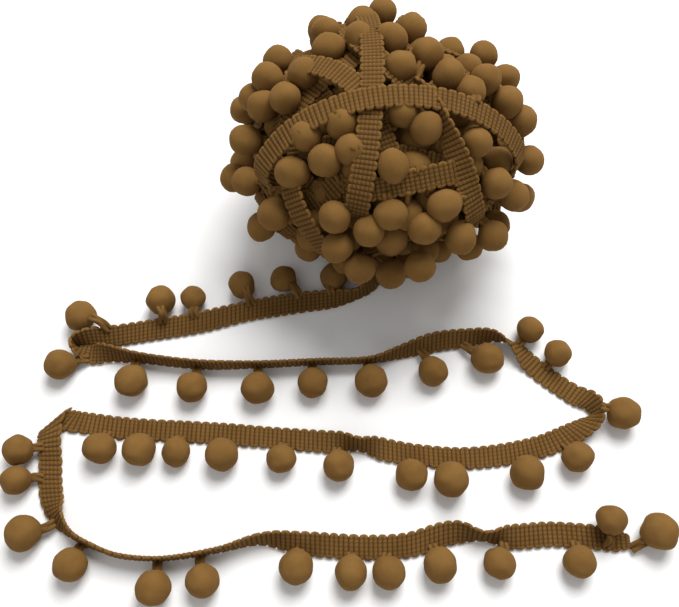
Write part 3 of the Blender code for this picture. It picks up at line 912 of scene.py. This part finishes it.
@dataclass
class LooseEnd:
    """The loose tape in its four rows, and the pompoms along its edge."""

    weave: RibbedTape = field(default_factory=RibbedTape)
    pompoms: PompomMaker = field(default_factory=PompomMaker)
    gap: float = 0.35 * MM
    small_move: float = 0.05 * MM
    most_moves: int = 12
    line: TapeLine = field(default_factory=loose_line)

    def build(self) -> None:
        """Build the tape and every pompom."""
        self.build_tape()
        for number, row in enumerate(LOOSE_POMPOMS, start=1):
            self.build_pompom(number, row)

    def build_tape(self) -> None:
        """Weave the loose tape."""
        piece = Piece("loose_tape", "tape", "tail_tape", (WEAVE,))
        path = self.weave.add(piece, self.line, seed=5, tipped=True)
        tape = piece.finish()

    def centre_of(self, row: LoosePompom) -> Vector:
        """Move a pompom's middle off whatever tape it would touch.

        Args:
            row: The pompom's row of the table.

        Returns:
            Its middle.
        """
        radius = row.diameter * MM / 2
        centre = Vector((row.x * MM, row.y * MM, radius + row.lift * MM))
        for _ in range(self.most_moves):
            apart, on_face = self.line.nearest(centre)
            if apart >= radius + self.gap:
                break
            away = centre - on_face
            away.z = max(away.z, 0.0) if row.lift else 0.0
            centre += away.normalized() * (radius + self.gap - apart + self.small_move)
        return centre

    def build_pompom(self, number: int, row: LoosePompom) -> None:
        """Build one pompom of the loose end.

        Args:
            number: Its place along the tape.
            row: Its row of the table.
        """
        centre = self.centre_of(row)
        edge, outward = self.line.edge_near(centre, row.on * MM)
        radius = row.diameter * MM / 2
        piece = Piece(f"pompom_{number:02d}", "pompom", f"pom_{number:02d}", (FELT, TWIST))
        self.pompoms.add_ball(piece, centre, radius, (centre - edge).normalized(), number)
        self.pompoms.add_loop(piece, edge, -outward, centre, radius, number, row.over)
        piece.finish()


@dataclass
class WoundBall:
    """The wound ball: its inner winding, two layers of wraps and the pompoms on them."""

    weave: RibbedTape = field(default_factory=RibbedTape)
    inner_weave: RibbedTape = field(default_factory=lambda: RibbedTape(rows_in_pass=3))
    pompoms: PompomMaker = field(
        default_factory=lambda: PompomMaker(fineness=3, strand_sides=6, strand_rows=7, lumps=0.07)
    )
    core_axes: Vector = field(default_factory=lambda: Vector((37, 35, 27)) * MM)
    wrap_axes: Vector = field(default_factory=lambda: Vector((49, 47, 36)) * MM)
    pompom_axes: Vector = field(default_factory=lambda: Vector((48, 46, 33)) * MM)
    diameter: float = 9.8 * MM
    cad_diameter: float = 9.4 * MM
    gap: float = 0.35 * MM
    wrap_sink: float = 6.0 * MM
    sink_over: float = 20.0
    turn_step: float = 0.5
    most_lean: float = math.radians(80)
    fill_count: int = 210
    fill_apart: float = 9.8 * MM
    fill_off_wrap: float = 8.2 * MM
    seen_from: Vector = field(default_factory=lambda: Vector((-0.05, -0.5, 0.86)))
    seen_share: float = 0.2
    seen_deeper: float = 5.0 * MM
    deep_count: int = 150
    deep_reach: float = -9.0 * MM
    deep_apart: float = 7.4 * MM
    longest_neck: float = 11 * MM
    winding_neck: float = 8 * MM
    size_change: float = 0.05
    size_scale: float = 900
    even_turn: float = math.pi * (3 - math.sqrt(5))

    def build(self, loose: TapeLine) -> None:
        """Build the ball's pieces.

        Args:
            loose: The loose tape's line, which the pompoms keep clear of.
        """
        self.build_winding()
        self.build_wraps("outer_wraps", OUTER_WRAPS, self.weave)
        self.build_wraps("inner_wraps", INNER_WRAPS, self.inner_weave)
        self.build_pompoms(loose)

    def build_winding(self) -> None:
        """Build the inner winding that shows in the gaps, painted dark as the shade inside the ball.
        """
        piece = Piece("inner_winding", "ball", "wound_ball", (SHADED,))
        made = bmesh.ops.create_icosphere(piece.maker, subdivisions=5, radius=1.0)["verts"]
        for vert in made:
            way = vert.co.normalized()
            lump = 1 + 0.10 * noise.noise(way * 5) + 0.05 * noise.noise(way * 14)
            vert.co = BALL_CENTRE + scaled(self.core_axes, way) * lump
            # Painted shade: blends at random towards the darkest colour.
            vert[piece.height] = 0.5 + 0.5 * noise.noise(way * 9)
        piece.finish()

    def wrap_line(self, wrap: Wrap) -> TapeLine:
        """Lay a wrap round the ball, sinking into it at its ends.

        Args:
            wrap: The wrap's row of the table.

        Returns:
            The tape's line.
        """
        level = wrap.level * MM
        axes = self.wrap_axes + Vector((level, level, level))
        stretched = scaled(axes, from_angles(wrap.pole, wrap.tilt))
        pole = stretched.normalized()
        share = wrap.offset * MM / stretched.length
        up = (Vector((0, 0, 1)) - pole * pole.z).normalized()
        side = pole.cross(up)
        degrees = np.arange(wrap.start, wrap.end, self.turn_step)
        turns = np.radians(degrees)[:, None]
        ring = np.array(up) * np.cos(turns) + np.array(side) * np.sin(turns)
        spots = np.array(pole) * share + ring * math.sqrt(1 - share**2)
        from_end = np.minimum(degrees - wrap.start, wrap.end - degrees) / self.sink_over
        if wrap is LEAD_WRAP:
            from_end = (wrap.end - degrees) / self.sink_over
        sunk = self.wrap_sink * (1 - np.minimum(1, from_end)) ** 2
        middles = (np.array(axes) - sunk[:, None]) * spots
        out = middles / np.array(axes) ** 2
        runs = unit(np.gradient(middles, axis=0))
        edges = unit(np.cross(out, runs))
        leans = np.radians(np.linspace(wrap.lean_start, wrap.lean_end, len(edges)))[:, None]
        leans = np.clip(leans, 0, self.most_lean)
        edges = edges * np.cos(leans) + np.cross(runs, edges) * np.sin(leans)
        return TapeLine.through(np.array(BALL_CENTRE) + middles, edges)

    def build_wraps(self, name: str, wraps: tuple[Wrap, ...], weave: RibbedTape) -> None:
        """Weave a layer of wraps, a few to a piece.

        Args:
            name: The layer's name.
            wraps: Its rows of the table.
            weave: The tape that they're made of.
        """
        for part in range(2):
            piece = Piece(f"{name}_{part + 1}", "ball", "wound_ball", (WEAVE,))
            for number, wrap in enumerate(wraps[part::2]):
                weave.add(piece, self.wrap_line(wrap), seed=100 + 7 * number + part)
            piece.finish()

    def spot(self, direction: Vector, reach: float) -> Vector:
        """Give a pompom's middle from its direction out of the ball and its reach."""
        place = BALL_CENTRE + scaled(self.pompom_axes + Vector((reach, reach, reach)), direction)
        place.z = max(place.z, self.cad_diameter / 2 + self.gap)
        return place

    def even_directions(self, count: int) -> list[Vector]:
        """Spread a number of directions evenly over the ball."""
        ways = []
        for index in range(count):
            height = 1 - 2 * (index + 0.5) / count
            level = math.sqrt(1 - height**2)
            turn = self.even_turn * index
            ways.append(Vector((level * math.cos(turn), level * math.sin(turn), height)))
        return ways

    def outer_centres(self, lines: list[TapeLine], loose: TapeLine) -> list[Vector]:
        """Place the outer layer's pompoms.

        Args:
            lines: The outer wraps' lines.
            loose: The loose tape's line.

        Returns:
            Their middles.
        """
        centres = [
            self.spot(from_angles(azimuth, course.height), course.reach * MM)
            for course in COURSES
            for azimuth in course.azimuths
        ]
        places = np.concatenate([line.middles for line in lines])
        for way in self.even_directions(self.fill_count):
            reach = -self.seen_deeper if way.dot(self.seen_from) > self.seen_share else 0.0
            centre = BALL_CENTRE + scaled(self.pompom_axes + Vector((reach, reach, reach)), way)
            if centre.z < self.cad_diameter / 2:
                continue
            apart = min((centre - other).length for other in centres)
            off_wrap = float(np.linalg.norm(places - np.array(centre), axis=1).min())
            off_tape = loose.nearest(centre)[0]
            clear = self.cad_diameter / 2 + 2 * self.gap
            if apart > self.fill_apart and off_wrap > self.fill_off_wrap and off_tape > clear:
                centres.append(self.spot(way, reach))
        return centres

    def deep_centres(self, outer: list[Vector], lines: list[TapeLine]) -> list[Vector]:
        """Place the pompoms of the layer below, in the gaps of the outer one.

        Args:
            outer: The outer pompoms' middles.
            lines: The outer wraps' lines.

        Returns:
            Their middles.
        """
        centres = []
        places = np.concatenate([line.middles for line in lines])
        for way in self.even_directions(self.deep_count):
            centre = self.spot(way, self.deep_reach)
            apart = min((centre - other).length for other in outer + centres)
            off_wrap = float(np.linalg.norm(places - np.array(centre), axis=1).min())
            if apart > self.deep_apart and off_wrap > self.diameter / 2:
                centres.append(centre)
        return centres

    def root_of(self, centre: Vector, lines: list[TapeLine]) -> tuple[Vector, Vector]:
        """Find where a pompom is sewn on: the nearest wrap's edge, or the winding below it.

        Args:
            centre: The pompom's middle.
            lines: The outer wraps' lines.

        Returns:
            The root, and the direction from it into the tape.
        """
        best = None
        for line in lines:
            for hand in (-1, 1):
                edges = line.middles + line.halves * hand
                distances = np.linalg.norm(edges - np.array(centre), axis=1)
                index = int(distances.argmin())
                if best is None or distances[index] < best[0]:
                    inward = (-Vector(line.halves[index]) * hand).normalized()
                    best = (distances[index], Vector(edges[index]), inward)
        if best[0] < self.longest_neck:
            return best[1], best[2]
        inward = (BALL_CENTRE - centre).normalized()
        return centre + inward * self.winding_neck, inward

    def build_pompoms(self, loose: TapeLine) -> None:
        """Build the two layers of pompoms.

        Args:
            loose: The loose tape's line.
        """
        lines = [self.wrap_line(wrap) for wrap in OUTER_WRAPS]
        outer = self.outer_centres(lines, loose)
        layers = {"ball_pompoms": outer, "deep_pompoms": self.deep_centres(outer, lines)}
        for name, centres in layers.items():
            piece = Piece(name, "ball", "wound_ball", (FELT, TWIST))
            for number, centre in enumerate(centres):
                root, inward = self.root_of(centre, lines)
                seed = 300 + number
                change = self.size_change * noise.noise(centre * self.size_scale)
                radius = self.diameter / 2 * (1 + change)
                self.pompoms.add_ball(piece, centre, radius, (centre - root).normalized(), seed)
                self.pompoms.add_loop(piece, root, inward, centre, radius, seed)
            piece.finish()
            LOG.info("%s: %d pompoms", name, len(centres))


@dataclass
class Studio:
    """The pale floor, the soft light and the camera."""

    floor_size: float = 4.0
    eye: Vector = field(default_factory=lambda: Vector((-0.0143, -0.167, 0.235)))
    pitch: float = 28.0
    lens: float = 40.0
    room_light: float = 0.32
    aim: Vector = field(default_factory=lambda: Vector((-0.015, -0.06, 0.02)))

    def build(self) -> None:
        """Build the floor, the lights, the world's light and the camera."""
        self.build_floor()
        self.add_light("key", place=Vector((0.20, 0.52, 0.95)), size=0.75, power=17.0)
        self.add_light("fill", place=Vector((-0.45, -0.85, 0.90)), size=1.0, power=2.5)
        self.build_world()
        self.build_camera()

    def build_floor(self) -> None:
        """Lay the floor."""
        maker = bmesh.new()
        bmesh.ops.create_grid(maker, x_segments=8, y_segments=8, size=self.floor_size / 2)
        mesh = bpy.data.meshes.new("floor")
        maker.to_mesh(mesh)
        maker.free()
        mesh.materials.append(FloorFinish().material())
        floor = bpy.data.objects.new("floor", mesh)
        bpy.context.scene.collection.objects.link(floor)

    def add_light(self, name: str, place: Vector, size: float, power: float) -> None:
        """Add a soft light that faces the trim.

        Args:
            name: Its name.
            place: Where it stands.
            size: The side of its panel.
            power: Its power in watts.
        """
        lamp = bpy.data.lights.new(name, "AREA")
        lamp.size = size
        lamp.energy = power
        light = bpy.data.objects.new(name, lamp)
        light.location = place
        light.rotation_euler = (self.aim - place).to_track_quat("-Z", "Y").to_euler()
        bpy.context.scene.collection.objects.link(light)

    def build_world(self) -> None:
        """Light the scene evenly from all round."""
        world = bpy.data.worlds.new("soft room")
        world.use_nodes = True
        background = world.node_tree.nodes["Background"]
        background.inputs["Color"].default_value = (1.0, 1.0, 1.0, 1.0)
        background.inputs["Strength"].default_value = self.room_light
        bpy.context.scene.world = world
        bpy.context.scene.view_settings.view_transform = "Standard"

    def build_camera(self) -> None:
        """Stand the camera at the photograph's viewing angle."""
        lens = bpy.data.cameras.new("camera")
        lens.lens = self.lens
        lens.sensor_width = 36.0
        lens.clip_start = 0.01
        camera = bpy.data.objects.new("camera", lens)
        camera.location = self.eye
        camera.rotation_euler = (math.radians(self.pitch), 0, 0)
        bpy.context.scene.collection.objects.link(camera)
        bpy.context.scene.camera = camera


def main() -> None:
    """Build the studio, the loose end and the ball."""
    logging.basicConfig(level=logging.INFO, format="%(name)s: %(message)s")
    Studio().build()
    loose = LooseEnd()
    loose.build()
    WoundBall().build(loose.line)


if __name__ == "__main__":
    main()
